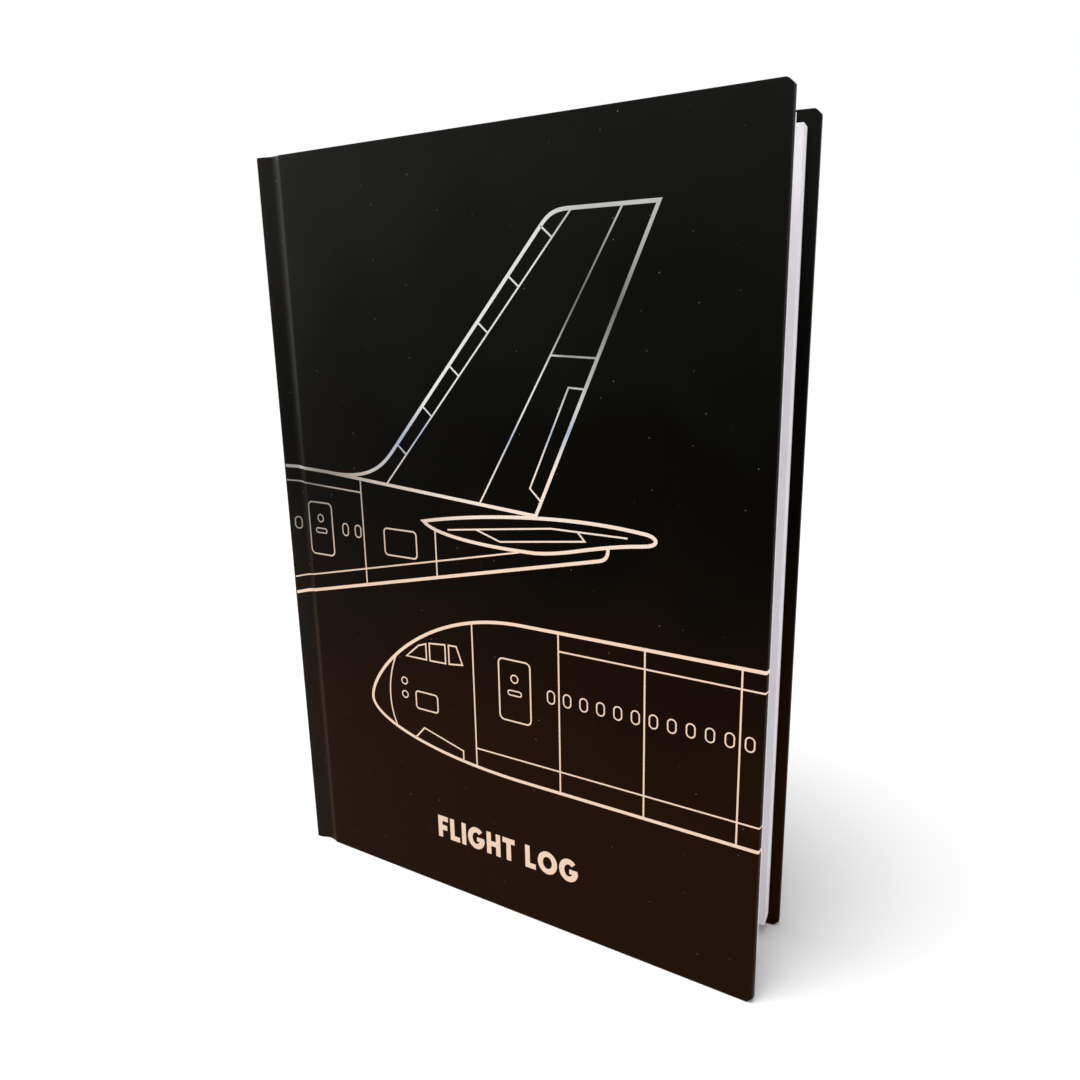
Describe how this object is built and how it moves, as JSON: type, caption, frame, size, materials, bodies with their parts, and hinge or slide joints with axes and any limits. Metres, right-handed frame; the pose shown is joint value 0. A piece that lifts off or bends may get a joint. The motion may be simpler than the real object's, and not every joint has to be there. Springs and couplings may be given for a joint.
{
  "type": "pilot logbook",
  "caption": "Case-bound A5 pilot's book with hinged hard covers, dark endpapers and sewn leaves that fan open between the covers.",
  "frame": {"origin": "foot of the spine, on its outer face, midway between the covers", "axes": "+X from the spine to the fore-edge, +Y out of the back cover, +Z from foot to head"},
  "size_m": [0.154, 0.0354, 0.218],
  "materials": {
    "wrap": "satin",
    "greyboard": "matte",
    "endpaper": "matte",
    "leaves": "matte",
    "gauze": "matte",
    "kraft_paper": "matte",
    "thread": "matte",
    "band": "matte"
  },
  "bodies": {
    "spine": {"spine_board": "greyboard", "spine_wrap": "wrap", "spine_mull": "gauze", "spine_liner": "kraft_paper", "sewing_thread": "thread", "head_band": "band", "tail_band": "band"},
    "front_cover": {"front_board": "greyboard", "front_wrap": "wrap", "front_mull_flap": "gauze", "front_pastedown": "endpaper"},
    "back_cover": {"back_board": "greyboard", "back_wrap": "wrap", "back_mull_flap": "gauze", "back_pastedown": "endpaper"},
    "front_endleaf": {"front_flyleaf": "endpaper"},
    "back_endleaf": {"back_flyleaf": "endpaper"},
    "leaves_01": {"section_01": "leaves"},
    "leaves_02": {"section_02": "leaves"},
    "leaves_03": {"section_03": "leaves"},
    "leaves_04": {"section_04": "leaves"},
    "leaves_05": {"section_05": "leaves"},
    "leaves_06": {"section_06": "leaves"},
    "leaves_07": {"section_07": "leaves"},
    "leaves_08": {"section_08": "leaves"},
    "leaves_09": {"section_09": "leaves"},
    "leaves_10": {"section_10": "leaves"},
    "leaves_11": {"section_11": "leaves"},
    "leaves_12": {"section_12": "leaves"}
  },
  "joints": [
    {"name": "front_cover_hinge", "type": "hinge", "parent": "spine", "child": "front_cover", "pos_m": [0.003, -0.00751, 0], "axis": [0, 0, -1], "range_deg": [-8, 167]},
    {"name": "back_cover_hinge", "type": "hinge", "parent": "spine", "child": "back_cover", "pos_m": [0.003, 0.00751, 0], "axis": [0, 0, 1], "range_deg": [0, 175]},
    {"name": "front_endleaf_turn", "type": "hinge", "parent": "spine", "child": "front_endleaf", "pos_m": [0.003, -0.00751, 0], "axis": [0, 0, -1], "range_deg": [-7.68, 160.32]},
    {"name": "leaves_01_turn", "type": "hinge", "parent": "spine", "child": "leaves_01", "pos_m": [0.003, -0.00751, 0], "axis": [0, 0, -1], "range_deg": [-7.2, 150.3]},
    {"name": "leaves_02_turn", "type": "hinge", "parent": "spine", "child": "leaves_02", "pos_m": [0.003, -0.00751, 0], "axis": [0, 0, -1], "range_deg": [-6.4, 133.6]},
    {"name": "leaves_03_turn", "type": "hinge", "parent": "spine", "child": "leaves_03", "pos_m": [0.003, -0.00751, 0], "axis": [0, 0, -1], "range_deg": [-5.44, 113.56]},
    {"name": "leaves_04_turn", "type": "hinge", "parent": "spine", "child": "leaves_04", "pos_m": [0.003, -0.00751, 0], "axis": [0, 0, -1], "range_deg": [-4.32, 90.18]},
    {"name": "back_endleaf_turn", "type": "hinge", "parent": "spine", "child": "back_endleaf", "pos_m": [0.003, 0.00751, 0], "axis": [0, 0, 1], "range_deg": [0, 168]},
    {"name": "leaves_12_turn", "type": "hinge", "parent": "spine", "child": "leaves_12", "pos_m": [0.003, 0.00751, 0], "axis": [0, 0, 1], "range_deg": [0, 157.5]},
    {"name": "leaves_11_turn", "type": "hinge", "parent": "spine", "child": "leaves_11", "pos_m": [0.003, 0.00751, 0], "axis": [0, 0, 1], "range_deg": [0, 140]},
    {"name": "leaves_10_turn", "type": "hinge", "parent": "spine", "child": "leaves_10", "pos_m": [0.003, 0.00751, 0], "axis": [0, 0, 1], "range_deg": [0, 120.75]},
    {"name": "leaves_09_turn", "type": "hinge", "parent": "spine", "child": "leaves_09", "pos_m": [0.003, 0.00751, 0], "axis": [0, 0, 1], "range_deg": [0, 101.5]},
    {"name": "leaves_08_turn", "type": "hinge", "parent": "spine", "child": "leaves_08", "pos_m": [0.003, 0.00751, 0], "axis": [0, 0, 1], "range_deg": [0, 82.25]},
    {"name": "leaves_07_turn", "type": "hinge", "parent": "spine", "child": "leaves_07", "pos_m": [0.003, 0.00751, 0], "axis": [0, 0, 1], "range_deg": [0, 63]},
    {"name": "leaves_06_turn", "type": "hinge", "parent": "spine", "child": "leaves_06", "pos_m": [0.003, 0.00751, 0], "axis": [0, 0, 1], "range_deg": [0, 43.75]},
    {"name": "leaves_05_turn", "type": "hinge", "parent": "spine", "child": "leaves_05", "pos_m": [0.003, 0.00751, 0], "axis": [0, 0, 1], "range_deg": [0, 24.5]}
  ],
  "couplings": [
    {"joint": "front_endleaf_turn", "follows": "front_cover_hinge", "ratio": 0.96},
    {"joint": "leaves_01_turn", "follows": "front_cover_hinge", "ratio": 0.9},
    {"joint": "leaves_02_turn", "follows": "front_cover_hinge", "ratio": 0.8},
    {"joint": "leaves_03_turn", "follows": "front_cover_hinge", "ratio": 0.68},
    {"joint": "leaves_04_turn", "follows": "front_cover_hinge", "ratio": 0.54},
    {"joint": "back_endleaf_turn", "follows": "back_cover_hinge", "ratio": 0.96},
    {"joint": "leaves_12_turn", "follows": "back_cover_hinge", "ratio": 0.9},
    {"joint": "leaves_11_turn", "follows": "back_cover_hinge", "ratio": 0.8},
    {"joint": "leaves_10_turn", "follows": "back_cover_hinge", "ratio": 0.69},
    {"joint": "leaves_09_turn", "follows": "back_cover_hinge", "ratio": 0.58},
    {"joint": "leaves_08_turn", "follows": "back_cover_hinge", "ratio": 0.47},
    {"joint": "leaves_07_turn", "follows": "back_cover_hinge", "ratio": 0.36},
    {"joint": "leaves_06_turn", "follows": "back_cover_hinge", "ratio": 0.25},
    {"joint": "leaves_05_turn", "follows": "back_cover_hinge", "ratio": 0.14}
  ]
}
